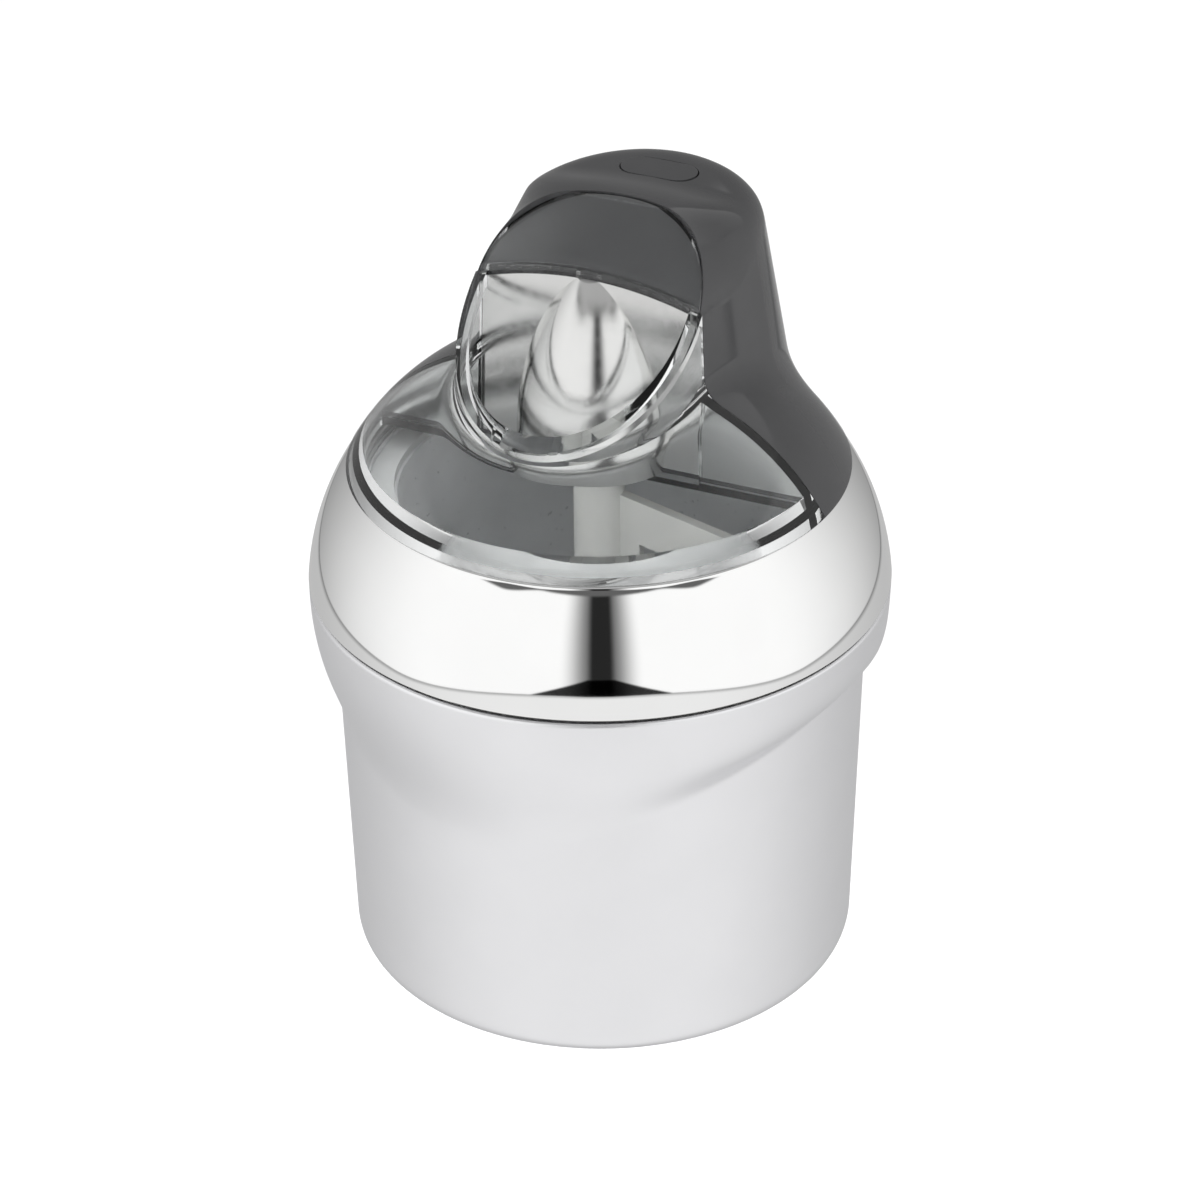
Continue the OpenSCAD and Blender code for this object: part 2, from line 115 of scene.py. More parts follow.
def bump(mat, shader, value, strength, distance, edge=0.0):
    """Fine relief, and edges that look rounded to a radius."""
    made = node(mat, "ShaderNodeBump", Strength=strength, Distance=distance)
    link(mat, value, made.inputs["Height"])
    if edge:
        soft = node(mat, "ShaderNodeBevel", Radius=edge)
        link(mat, soft.outputs["Normal"], made.inputs["Normal"])
    link(mat, made.outputs["Normal"], shader.inputs["Normal"])


def shade(colour, factor):
    return tuple(min(1.0, c * factor) for c in colour)


def plain(name, colour, rough, metallic=0.0, grain=900.0, depth=0.00002, swing=0.06, edge=0.0, **inputs):
    """A surface with fine grain, slight colour drift and uneven gloss."""
    mat, shader = new_material(name)
    drift = noise(mat, 45.0, 5.0)
    fine = noise(mat, grain, 3.0)
    link(mat, ramp(mat, drift, shade(colour, 1 - swing), shade(colour, 1 + swing)),
         shader.inputs["Base Color"])
    link(mat, spread(mat, fine, rough * 0.85, rough * 1.2), shader.inputs["Roughness"])
    shader.inputs["Metallic"].default_value = metallic
    for key, value in inputs.items():
        shader.inputs[key.replace("_", " ")].default_value = value
    bump(mat, shader, fine, 0.25, depth, edge)
    return mat


def make_materials():
    made = {}
    made["satin_silver"] = plain("satin_silver", (0.94, 0.94, 0.955), 0.34, 1.0, 2600.0, 0.00001, 0.01)
    made["bright_chrome"] = plain("bright_chrome", (0.94, 0.94, 0.935), 0.035, 1.0, 60.0, 0.00003, 0.01)
    made["soft_chrome"] = plain("soft_chrome", (0.78, 0.78, 0.77), 0.17, 1.0, 300.0, 0.00001, 0.01)
    made["dark_gloss"] = plain("dark_gloss", (0.05, 0.05, 0.052), 0.07, 0.0, 120.0, 0.00001, 0.08,
                               edge=0.0005)
    made["dark_plastic"] = plain("dark_plastic", (0.03, 0.03, 0.032), 0.5, 0.0, 1500.0, 0.00003)
    made["white_plastic"] = plain("white_plastic", (0.8, 0.8, 0.77), 0.35, 0.0, 700.0)
    made["grey_plastic"] = plain("grey_plastic", (0.6, 0.61, 0.61), 0.38, 0.0, 700.0)
    made["aluminium"] = plain("aluminium", (0.84, 0.85, 0.86), 0.32, 0.25, 500.0, 0.00001)
    made["steel"] = plain("steel", (0.56, 0.57, 0.58), 0.28, 1.0, 800.0)
    made["bronze"] = plain("bronze", (0.6, 0.42, 0.2), 0.32, 1.0, 800.0)
    made["copper"] = plain("copper", (0.62, 0.3, 0.14), 0.35, 1.0, 2500.0)
    made["magnet"] = plain("magnet", (0.05, 0.05, 0.055), 0.6, 0.4, 1500.0)
    made["rubber"] = plain("rubber", (0.02, 0.02, 0.02), 0.65, 0.0, 1800.0, 0.00004)
    made["silicone"] = plain("silicone", (0.55, 0.56, 0.57), 0.45, 0.0, 900.0)
    made["gel"] = plain("gel", (0.2, 0.42, 0.72), 0.2, 0.0, 200.0)
    clear, shader = new_material("clear_plastic")
    shader.inputs["Base Color"].default_value = (0.975, 0.985, 0.985, 1)
    shader.inputs["Transmission Weight"].default_value = 1.0
    shader.inputs["IOR"].default_value = 1.49
    wave = noise(clear, 38.0, 2.0)
    link(clear, spread(clear, wave, 0.012, 0.04), shader.inputs["Roughness"])
    bump(clear, shader, wave, 0.12, 0.0002)
    made["clear_plastic"] = clear
    return made


MATERIALS = make_materials()
for entry in frame["record"]["subparts"]:
    cad = NODES[entry["node"]]
    cad.data.materials.clear()
    cad.data.materials.append(MATERIALS[entry["material_slot"]])

# ---- sizes, in millimetres -------------------------------------------------------------
MM = 0.001
DOME_CENTRE = (14.5, 149.6)  # radius and height of the centre of the arc that makes the dome
DOME_ARC = 85.0
FOOT_Z = 192.75  # where lid and motor unit end, just above the ring
DECK_Z = 196.2  # top of the lid's deck, which carries the motor unit
TOWER_W = 47.3  # half width of the back of the tower at a height of 250
DRAFT = 0.17  # how much each side widens there for every millimetre down
SPLIT_W = 42.4  # the same two at the split, where the tower meets the chute
SPLIT_DRAFT = 0.035
TOWER_BACK = 33.0  # behind this y the tower is round
# y, where the rounded sides would reach, height of the crown, radius of the rounded sides
TOP_FRONT = (12.0, 283.8, 286.0, 29.0)
TOP_BACK = (46.0, 288.6, 280.9, 24.0)
CROWN_R = 250.0
CROWN_FILLET = 6.0
CHUTE_Y = -10.0  # ahead of this y the chute is oval
CHUTE_REACH = 49.0  # how far the chute reaches forward from there, at a height of 235
CHUTE_DRAFT = 0.1
BUTTON_TOP = 280.9
BUTTON_HOLE = (28.8, 14.8)  # length and width
CHUTE_IN = 4.4  # width of the lip round the chute's mouth
LIP_DEPTH = 4.5
SPLIT_Y = -7.0  # where the lid ends and the motor unit begins
SPLIT_GAP = 0.4
BROW_Z = 267.7
BROW_ARCH = 122.0  # radius that mouth and window are arched to, seen from the front
MOUTH_SLOPE = 0.8
FACE_ROUND = (3.2, 2.5)  # the window's rounded front edge: its rise, and how soon it is reached
FACE_SLOPE = 0.46
FACE_FLATTER = 0.6  # share of its arch that the face loses on its way back
FACE_LENGTH = 31.0
ARCH = (-12.0, 41.5, 35.3)  # the window's arch seen from above: centre y, half width, reach back
WINDOW_T = 2.4
WINDOW_PLAY = 0.4  # how far the window stays inside its arch
WINDOW_SUNK = 0.5  # how far its sides lie beneath those of the motor unit
WALL_T = 2.4
GAP = 0.3
FILLET_SIDE = 7.0  # between tower and dome
FILLET_LID = 6.0  # between the front of the chute and the dome
SKIRT_R = 82.4  # skirt under the lid, which fits into the ring
SKIRT_IN = 80.2
SKIRT_FOOT = 186.5
SKIRT_ROOF = 194.0  # underside of the deck
BUSH_R = 13.0
MOTOR_FOOT_R = 83.0  # room under the motor unit for its bottom cover
MOTOR_FOOT_TOP = 198.6
RING_CENTRE = (12.1, 141.9)
RING_ARC = 90.7
RING_TOP = 192.45
RING_T = 2.2
SEAM_Z = 149.2
MOUTH_R = 85.8  # the ring's opening
BUTTON_Y = 52.0
CREST_AT = 86.0  # degrees from the front towards +X where the flare's crease is highest
CREST_FRONT = 47.0  # how far round it the crease falls, towards the front and the back
CREST_BACK = 29.0
CREASE_LOW = 105.0
CREASE_RISE = 19.5
CREASE_BLEND = 14.0  # height over which bucket and flare meet
CREASE_SOFT = (1.2, 10.0)  # fillet of the crease: at its sharpest, and what the front adds
SOFT_AT = 5.0  # degrees from the front where the crease is softest
SOFT_SPREAD = 45.0
FLARE_BEND = (2.2, 3.8)  # how the flare curves: away from the crest, and what the crest adds
FLARE_STRAIGHT = 0.29  # share of the flare that is straight at the crest
SEAM_R = 102.4
CASING_TOP = 147.6
CASING_T = 2.2
BASE_R = 90.4
TAPER = (93.3 - 90.4) / (110.0 - 9.0)  # how much the bucket widens for every millimetre up
BASE_ROUND = 9.0
BASE_Z = 1.6
BASE_OPENING = 74.0
BELL_ARC = 99.3
BELL_CENTRE = (-71.1, 205.0)
BELL_R = 28.2
PLATE_FRONT = 0.2  # how far the bright plate stands ahead of the split
PLATE_BACK = 2.3  # how far its back lies behind the split
NOSE_BACK = 1.2  # the same for the nose
WIDE = 120.0  # beyond every side of the object
HIGH = 330.0  # above it
REAR_CENTRE = (0.0, 12.0, 200.0)  # points from which motor unit and lid are seen whole
LID_CENTRE = (0.0, -14.0, 192.0)
FINE = (260, 400)  # rows and columns of the surfaces that show sharp rims

# ---- light, brightness at the front and at the back ---------------------------------------
BOX_LIGHT = (1.28, 0.4)
TABLE_LIGHT = (1.08, 0.65)
OPEN_FILL = (0.1, 0.7)  # extra light on matt surfaces, from level and from above
LID_FILL = 2.0  # the same under the clear lid

# ---- modelling helpers -----------------------------------------------------------------


def soft_min(a, b, k):
    """The smaller of two distances, with a fillet about k wide where they are alike."""
    h = np.maximum(k - np.abs(a - b), 0) / k
    return np.minimum(a, b) - h * h * k / 4


def soft_max(a, b, k):
    return -soft_min(-a, -b, k)


def dome_distance(x, y, z):
    out = np.hypot(x, y) - DOME_CENTRE[0]
    up = z - DOME_CENTRE[1]
    return np.where(out > 0, np.hypot(out, up), up) - DOME_ARC


def half_width(z, y=TOWER_BACK):
    """Half width of the tower at a height, which narrows towards the split."""
    ahead = np.clip((TOWER_BACK - y) / (TOWER_BACK - SPLIT_Y), 0, 1)
    back = TOWER_W - DRAFT * (z - 250)
    return back + ahead * (SPLIT_W - SPLIT_DRAFT * (z - 250) - back)


def tower_distance(x, y, z):
    lean = math.hypot(1, DRAFT)
    along = np.clip((y - TOP_FRONT[0]) / (TOP_BACK[0] - TOP_FRONT[0]), 0, 1)
    along = along * along * (3 - 2 * along)
    top, ridge, r = (f + (b - f) * along for f, b in zip(TOP_FRONT[1:], TOP_BACK[1:]))
    reach = np.hypot(x, np.maximum(y - TOWER_BACK, 0))
    middle = top - r
    aside, up = reach - (half_width(middle, y) - r * lean), z - middle
    flat = np.maximum((reach - half_width(z, y)) / lean, z - top)
    rounded = (aside > 0) & (up > DRAFT * aside)
    shape = np.where(rounded, np.hypot(aside, up) - r, flat)
    return soft_max(shape, np.hypot(x, z - ridge + CROWN_R) - CROWN_R, CROWN_FILLET)


def chute_size(z):
    """Half width of the chute at a height, and how far it reaches forward."""
    return SPLIT_W - SPLIT_DRAFT * (z - 250), CHUTE_REACH - CHUTE_DRAFT * (z - 235)


def chute_distance(x, y, z):
    wide, long = chute_size(z)
    ahead = np.minimum(y - CHUTE_Y, 0)
    ratio = np.hypot(x / wide, ahead / long)
    return (ratio - 1) * ratio / np.maximum(np.hypot(x / wide ** 2, ahead / long ** 2), 0.001)


def rear_distance(x, y, z):
    """Outside of the motor unit: dome and tower with a fillet between them."""
    return soft_min(dome_distance(x, y, z), tower_distance(x, y, z), FILLET_SIDE)


def front_distance(x, y, z):
    """Outside of the lid: dome and chute with a fillet between them."""
    k = FILLET_LID + (FILLET_SIDE - FILLET_LID) * np.clip((y + 35) / 28, 0, 1)
    return soft_min(dome_distance(x, y, z), chute_distance(x, y, z), k)


def new_object(name, verts, faces):
    mesh = bpy.data.meshes.new(name)
    mesh.from_pydata(verts, [], faces)
    mesh.update()
    made = bpy.data.objects.new(name, mesh)
    bpy.context.collection.objects.link(made)
    return made


def closed_surface(name, distance, inset, centre, rows=210, columns=320, reach=150.0):
    """Closed mesh where distance(x, y, z) is -inset, seen from a centre inside it."""
    polar = np.linspace(0, math.pi, rows + 1)[1:-1, None]
    around = np.linspace(0, 2 * math.pi, columns, endpoint=False)[None, :]
    dirs = [np.sin(polar) * np.cos(around), np.sin(polar) * np.sin(around),
            np.cos(polar) * np.ones_like(around)]
    dirs = [np.concatenate(([end], d.ravel(), [last])) for d, end, last in
            zip(dirs, (0.0, 0.0, 1.0), (0.0, 0.0, -1.0))]
    low, high = np.zeros_like(dirs[0]), np.full_like(dirs[0], reach)
    for _ in range(30):
        mid = (low + high) / 2
        inside = distance(*(c + d * mid for c, d in zip(centre, dirs))) < -inset
        low, high = np.where(inside, mid, low), np.where(inside, high, mid)
    verts = np.stack([(c + d * low) * MM for c, d in zip(centre, dirs)], axis=1)
    last = len(verts) - 1
    faces = []
    for j in range(columns):
        k = (j + 1) % columns
        faces.append((0, 1 + j, 1 + k))
        foot = last - columns
        faces.append((last, foot + k, foot + j))
        for i in range(rows - 2):
            a, b = 1 + i * columns, 1 + (i + 1) * columns
            faces.append((a + j, b + j, b + k, a + k))
    return new_object(name, verts.tolist(), faces)


def block(name, x0, x1, y0, y1, z0, z1):
    """A closed box, in millimetres."""
    corners = [(x * MM, y * MM, z * MM) for x in (x0, x1) for y in (y0, y1) for z in (z0, z1)]
    faces = [(0, 1, 3, 2), (4, 6, 7, 5), (0, 4, 5, 1), (2, 3, 7, 6), (0, 2, 6, 4), (1, 5, 7, 3)]
    return new_object(name, corners, faces)


def under(slope, drop=0.0, steps=720):
    """Everything under the arched face that rises backwards from the brow, as a long cylinder."""
    lean = math.hypot(1, slope)
    r = BROW_ARCH * lean - drop
    turn = [2 * math.pi * i / steps for i in range(steps)]
    piece = prism("under", [(r * math.cos(t), r * math.sin(t)) for t in turn], -200, 200)
    along = Vector((0, 1, slope)).normalized()
    up = Vector((0, -slope, 1)).normalized()
    axis = Matrix((Vector((1, 0, 0)), up, along)).transposed().to_4x4()
    centre = (Vector((0, SPLIT_Y, BROW_Z)) - up * BROW_ARCH * lean) * MM
    piece.data.transform(Matrix.Translation(centre) @ axis)
    piece.data.flip_normals()
    return piece


def beneath_face(drop=0.0, steps=160):
    """Everything under the window's bulging face, which rises backwards from the brow."""
    side, low, ahead, behind = 125.0, 150.0, 12, 60
    xs = [side * (2 * i / steps - 1) for i in range(steps + 1)]
    # coarse rows ahead of the brow, fine ones over its rounded edge, and coarse ones behind
    ys = [SPLIT_Y + 5 * (i - ahead) for i in range(ahead)]
    ys += [SPLIT_Y + 0.15 * i for i in range(steps + 1 - ahead - behind)]
    ys += [ys[-1] + 1.95 * (i + 1) for i in range(behind)]
    verts, n = [], steps + 1
    for y in ys:
        t = y - SPLIT_Y
        rise = FACE_ROUND[0] * (1 - math.exp(-max(t, 0) / FACE_ROUND[1])) + FACE_SLOPE * t
        bend = (1 - FACE_FLATTER * min(t / FACE_LENGTH, 1)) / (2 * BROW_ARCH)
        verts += [(x * MM, y * MM, (BROW_Z - drop + rise - bend * x * x) * MM) for x in xs]
    verts += [(x, y, low * MM) for x, y, z in verts]
    base = n * n
    faces = []
    for j in range(steps):
        for i in range(steps):
            a = j * n + i
            faces.append((a, a + 1, a + n + 1, a + n))
            faces.append((base + a, base + a + n, base + a + n + 1, base + a + 1))
        a, b = j * n, j * n + steps
        faces.append((a, a + n, base + a + n, base + a))
        faces.append((b, base + b, base + b + n, b + n))
        c, d = j, steps * n + j
        faces.append((c, base + c, base + c + 1, c + 1))
        faces.append((d, d + 1, base + d + 1, base + d))
    return new_object("beneath_face", verts, faces)


def prism(name, outline, z0, z1, upper=None):
    """A closed prism on an anticlockwise outline in millimetres, or a taper to an upper outline."""
    n = len(outline)
    ends = ((z0, outline), (z1, upper or outline))
    verts = [(x * MM, y * MM, z * MM) for z, line in ends for x, y in line]
    faces = [tuple(range(n - 1, -1, -1)), tuple(range(n, 2 * n))]
    faces += [(i, (i + 1) % n, n + (i + 1) % n, n + i) for i in range(n)]
    return new_object(name, verts, faces)


def disc(name, r, z0, z1, steps=192):
    """A closed disc about the object's axis, in millimetres."""
    turn = [2 * math.pi * i / steps for i in range(steps)]
    return prism(name, [(r * math.cos(t), r * math.sin(t)) for t in turn], z0, z1)


def stadium(length, width, y, steps=24):
    """Outline of a slot with round ends, its middle at y."""
    r = width / 2
    half = length / 2 - r
    arc = [math.pi * i / steps - math.pi / 2 for i in range(steps + 1)]
    return ([(half + r * math.cos(t), y + r * math.sin(t)) for t in arc]
            + [(-half - r * math.cos(t), y - r * math.sin(t)) for t in arc])


def chute_outline(inset, z, steps=128):
    """Outline of the chute at height z, round at its front and open-ended at the split."""
    wide, long = (size - inset for size in chute_size(z))
    arc = [math.pi + math.pi * i / steps for i in range(steps + 1)]
    return [(wide * math.cos(t), CHUTE_Y + long * math.sin(t)) for t in arc] + [(wide, 10), (-wide, 10)]


def combine(piece, operation, *others):
    """Boolean of closed meshes; the others are used up."""
    for other in others:
        step = piece.modifiers.new(operation, "BOOLEAN")
        step.object = other
        step.operation = operation
        step.solver = "MANIFOLD"
    bpy.context.view_layer.update()
    made = bpy.data.meshes.new_from_object(piece.evaluated_get(bpy.context.evaluated_depsgraph_get()))
    piece.modifiers.clear()
    piece.data = made
    for other in others:
        bpy.data.objects.remove(other)
    return piece


def revolve(name, profile, steps=288):
    """A ring from a closed profile of (radius, height), in millimetres."""
    n = len(profile)
    verts = []
    for i in range(steps):
        t = 2 * math.pi * i / steps
        verts += [(r * MM * math.cos(t), r * MM * math.sin(t), z * MM) for r, z in profile]
    faces = []
    for i in range(steps):
        a, b = i * n, (i + 1) % steps * n
        faces += [(a + j, b + j, b + (j + 1) % n, a + (j + 1) % n) for j in range(n)]
    return new_object(name, verts, faces)


def turned(name, profile, steps=256):
    """A closed solid of revolution; its profile starts and ends on the axis."""
    inner = profile[1:-1]
    n = len(inner)
    verts = [(0, 0, profile[0][1] * MM), (0, 0, profile[-1][1] * MM)]
    for i in range(steps):
        t = 2 * math.pi * i / steps
        verts += [(r * MM * math.cos(t), r * math.sin(t) * MM, z * MM) for r, z in inner]
    faces = []
    for i in range(steps):
        a, b = 2 + i * n, 2 + (i + 1) % steps * n
        faces.append((0, b, a))
        faces.append((1, a + n - 1, b + n - 1))
        faces += [(a + j, b + j, b + j + 1, a + j + 1) for j in range(n - 1)]
    return new_object(name, verts, faces)


def arc_points(centre, r, start, end, steps):
    """Points of an arc from angle start to end, in degrees."""
    turns = [math.radians(start + (end - start) * i / steps) for i in range(steps + 1)]
    return [(centre[0] + r * math.cos(t), centre[1] + r * math.sin(t)) for t in turns]


def dress(piece, material, body, slot, *nodes, sharp=35.0):
    """Give a piece its surface, hang it on the body it rides on, and hide the CAD parts it stands in
    for.
    """
    piece.data.materials.clear()
    piece.data.materials.append(MATERIALS[material])
    piece.data.polygons.foreach_set("use_smooth", [True] * len(piece.data.polygons))
    piece.data.set_sharp_from_angle(angle=math.radians(sharp))
    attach(piece, body)
    if nodes:
        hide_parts(*nodes)


# ---- pieces ----------------------------------------------------------------------------


def arch_over(inset, drop=0.0):
    """All that stands over the window's face, within its arch."""
    mid, wide, back = ARCH
    turn = [2 * math.pi * i / 256 for i in range(256)]
    outline = [((wide - inset) * math.cos(t), mid + (back - inset) * math.sin(t)) for t in turn]
    return combine(prism("arch", outline, 235, 340), "DIFFERENCE", beneath_face(drop))


def make_housing():
    """Dark shell of the motor unit, with a shallow seat for the window."""
    shell = closed_surface("motor_shell", rear_distance, 0, REAR_CENTRE, *FINE)
    combine(shell, "INTERSECT", block("keep", -WIDE, WIDE, SPLIT_Y, WIDE, FOOT_Z, HIGH))
    hollow = closed_surface("hollow", rear_distance, WALL_T, REAR_CENTRE)
    combine(hollow, "INTERSECT", beneath_face(WINDOW_T + GAP + WALL_T),
            block("keep", -WIDE, WIDE, -WIDE, WIDE, 190, 320))
    hole = prism("button_hole", stadium(*BUTTON_HOLE, BUTTON_Y), BUTTON_TOP - 8, BUTTON_TOP + 8)
    combine(shell, "DIFFERENCE", arch_over(0, WINDOW_T + GAP), hollow,
            disc("foot", MOTOR_FOOT_R, 180, MOTOR_FOOT_TOP), hole)
    dress(shell, "dark_gloss", "motor", "dark_gloss", "motor_housing")


def make_window():
    """Clear pane over the motor unit's face."""
    pane = closed_surface("window_pane", rear_distance, WINDOW_SUNK, REAR_CENTRE, *FINE)
    whole = arch_over(WINDOW_PLAY, WINDOW_T)
    combine(whole, "INTERSECT", block("keep", -WIDE, WIDE, SPLIT_Y, WIDE, 235, HIGH))
    combine(pane, "INTERSECT", whole)
    combine(pane, "DIFFERENCE", arch_over(-2.0))
    dress(pane, "clear_plastic", "motor", "clear_plastic", "face_window")


def make_lid():
    """Clear lid with its chute."""
    end = SPLIT_Y - SPLIT_GAP
    shell = closed_surface("lid_clear", front_distance, 0, LID_CENTRE)
    combine(shell, "INTERSECT", block("keep", -WIDE, WIDE, -WIDE, end, FOOT_Z, HIGH), under(MOUTH_SLOPE))
    combine(shell, "UNION", disc("skirt", SKIRT_R, SKIRT_FOOT, DECK_Z))
    hollow = closed_surface("hollow", dome_distance, WALL_T, LID_CENTRE)
    combine(hollow, "INTERSECT", disc("inside", SKIRT_IN, 180, 300),
            block("keep", -WIDE, WIDE, -WIDE, end - WALL_T, 180, HIGH))

    def bore(name, inset):
        """The chute's inside, its wall as thick as the inset."""
        return prism(name, chute_outline(inset, DECK_Z), DECK_Z, 300, chute_outline(inset, 300))

    wide = combine(bore("wide", WALL_T), "INTERSECT", under(MOUTH_SLOPE, LIP_DEPTH))
    combine(shell, "DIFFERENCE", hollow, disc("under_skirt", SKIRT_IN, 180, SKIRT_ROOF),
            bore("throat", CHUTE_IN), wide, disc("bush_hole", BUSH_R, 180, 200))
    dress(shell, "clear_plastic", "lid", "clear_plastic", "lid_shell")


def make_ring():
    """Bright ring with soft lips at its mouth and at the seam."""
    top = math.degrees(math.asin((RING_TOP - 0.7 - RING_CENTRE[1]) / RING_ARC))
    low = math.degrees(math.asin((SEAM_Z + 0.5 - RING_CENTRE[1]) / RING_ARC))
    outer = arc_points(RING_CENTRE, RING_ARC, low, top, 56)
    inner = arc_points(RING_CENTRE, RING_ARC - RING_T, top - 0.2, low, 30)
    lip_r = (outer[-1][0] + max(inner[0][0], MOUTH_R)) / 2
    lip = arc_points((lip_r, RING_TOP - 0.8), 0.8, 40, 180, 8)
    foot = [(outer[0][0] - 0.4, SEAM_Z), (inner[-1][0], SEAM_Z)]
    profile = outer + lip + [(max(r, MOUTH_R), z) for r, z in inner] + foot
    ring = revolve("ring_bright", profile, 320)
    dress(ring, "bright_chrome", "casing", "bright_chrome", "rim_ring", sharp=50)


def taper_radius(z):
    """Outside of the bucket below the flare."""
    return BASE_R + TAPER * (z - BASE_ROUND)


def make_casing():
    """Bucket with the flare that runs down from the seam to a crease of changing height."""
    columns = 360
    azimuth = np.linspace(0, 2 * math.pi, columns, endpoint=False)
    turn = np.degrees(np.angle(np.exp(1j * (azimuth - math.radians(CREST_AT)))))
    high = np.exp(-(turn / np.where(turn < 0, CREST_FRONT, CREST_BACK)) ** 2)
    crease = CREASE_LOW + CREASE_RISE * high
    ahead = np.degrees(np.angle(np.exp(1j * (azimuth - math.radians(SOFT_AT)))))
    soft = CREASE_SOFT[0] + CREASE_SOFT[1] * np.exp(-(ahead / SOFT_SPREAD) ** 2)
    bend = FLARE_BEND[0] + FLARE_BEND[1] * high
    straight = FLARE_STRAIGHT * high
    total = SEAM_R - taper_radius(crease)

    def radius(z):
        s = np.maximum((CASING_TOP - z) / (CASING_TOP - crease), 0)
        flare = SEAM_R - total * (straight * s + (1 - straight) * s ** bend)
        return np.where(s < 1.6, soft_max(taper_radius(z), flare, soft), taper_radius(z))

    above = BASE_Z + BASE_ROUND
    levels = [above + (crease - CREASE_BLEND - above) * i / 16 for i in range(16)]
    levels += [crease - CREASE_BLEND + CREASE_BLEND * i / 14 for i in range(14)]
    levels += [crease + (CASING_TOP - crease) * (i / 40) ** 1.3 for i in range(41)]
    foot = arc_points((BASE_R - BASE_ROUND, above), BASE_ROUND, -90, -4, 14)
    lip = [(SEAM_R - inset, CASING_TOP + rise) for inset, rise in ((0.3, 0.4), (1.0, 0.6), (3.0, 0.6))]
    floor = [(BASE_R - BASE_ROUND, BASE_Z + CASING_T), (BASE_OPENING, BASE_Z + CASING_T)]

    def round_rows(points):
        return [(np.full(columns, r), np.full(columns, z)) for r, z in points]

    rows = round_rows([(BASE_OPENING, BASE_Z)] + foot)
    rows += [(radius(z), z) for z in levels]
    rows += round_rows(lip)
    rows += [(radius(z) - CASING_T + 0.7, z) for z in levels[::-6]]
    rows += round_rows(floor)
    n = len(rows)
    verts = [(r[j] * MM * math.sin(azimuth[j]), -r[j] * MM * math.cos(azimuth[j]), z[j] * MM)
             for r, z in rows for j in range(columns)]
    faces = []
    for i in range(n):
        for j in range(columns):
            a, b = i * columns, (i + 1) % n * columns
            k = (j + 1) % columns
            faces.append((a + j, a + k, b + k, b + j))
    casing = new_object("casing_skin", verts, faces)
    dress(casing, "satin_silver", "casing", "satin_silver", "outer_casing", sharp=60)


def make_nose():
    """Bright front of the motor unit: a flat plate with the gearbox nose on it."""
    plate = closed_surface("front_bright", rear_distance, WALL_T + 0.1, REAR_CENTRE)
    slab = block("keep", -WIDE, WIDE, SPLIT_Y - PLATE_FRONT, SPLIT_Y + PLATE_BACK, DECK_Z + 2.3, 300)
    combine(plate, "INTERSECT", slab, beneath_face(WINDOW_T + GAP))
    tip = math.degrees(math.acos(-BELL_CENTRE[0] / BELL_ARC))
    arch = [p for p in arc_points(BELL_CENTRE, BELL_ARC, 0, tip, 90) if p[0] > 0.01]
    top = BELL_CENTRE[1] + BELL_ARC * math.sin(math.radians(tip))
    nose = turned("nose", [(0.0, DECK_Z + 0.6), (BELL_R, DECK_Z + 0.6)] + arch + [(0.0, top)])
    combine(nose, "INTERSECT", block("keep", -WIDE, WIDE, -WIDE, SPLIT_Y + NOSE_BACK, 190, 320),
            beneath_face(WINDOW_T + GAP))
    combine(plate, "UNION", nose)
    dress(plate, "soft_chrome", "motor", "bright_chrome", "front_plate", sharp=12)


make_casing()
make_ring()
make_housing()
make_window()
make_lid()
make_nose()

# ---- studio ----------------------------------------------------------------------------


def make_camera():
    azimuth, elevation, roll = (math.radians(v) for v in (CAM_AZIMUTH, CAM_ELEVATION, CAM_ROLL))
    back = Vector((math.sin(azimuth) * math.cos(elevation),
                   -math.cos(azimuth) * math.cos(elevation), math.sin(elevation)))
    right = Vector((math.cos(azimuth), math.sin(azimuth), 0))
    up = back.cross(right)
    x_axis = math.cos(roll) * right + math.sin(roll) * up
    y_axis = -math.sin(roll) * right + math.cos(roll) * up
    data = bpy.data.cameras.new("camera")
    data.sensor_width = SENSOR_MM
    data.lens = FOCAL_PX / FRAME_PX * SENSOR_MM
    camera = bpy.data.objects.new("camera", data)
    turn = Matrix((x_axis, y_axis, back)).transposed().to_4x4()
    camera.matrix_world = Matrix.Translation(CAM_AIM + back * CAM_DISTANCE) @ turn
    bpy.context.collection.objects.link(camera)
    bpy.context.scene.camera = camera


class Maths:
    """Short forms for maths nodes in one node tree."""

    def __init__(self, tree):
        self.tree = tree

    def __call__(self, operation, *values):
        made = self.tree.nodes.new("ShaderNodeMath")
        made.operation = operation
        for socket, value in zip(made.inputs, values):
            if isinstance(value, (int, float)):
                socket.default_value = value
            else:
                self.tree.links.new(value, socket)
        return made.outputs[0]

    def smooth(self, value, start, end, low=0.0, high=1.0):
        made = self.tree.nodes.new("ShaderNodeMapRange")
        made.interpolation_type = "SMOOTHSTEP"
        for key, number in zip(("Value", "From Min", "From Max", "To Min", "To Max"),
                               (value, start, end, low, high)):
            if isinstance(number, (int, float)):
                made.inputs[key].default_value = number
            else:
                self.tree.links.new(number, made.inputs[key])
        return made.outputs[0]


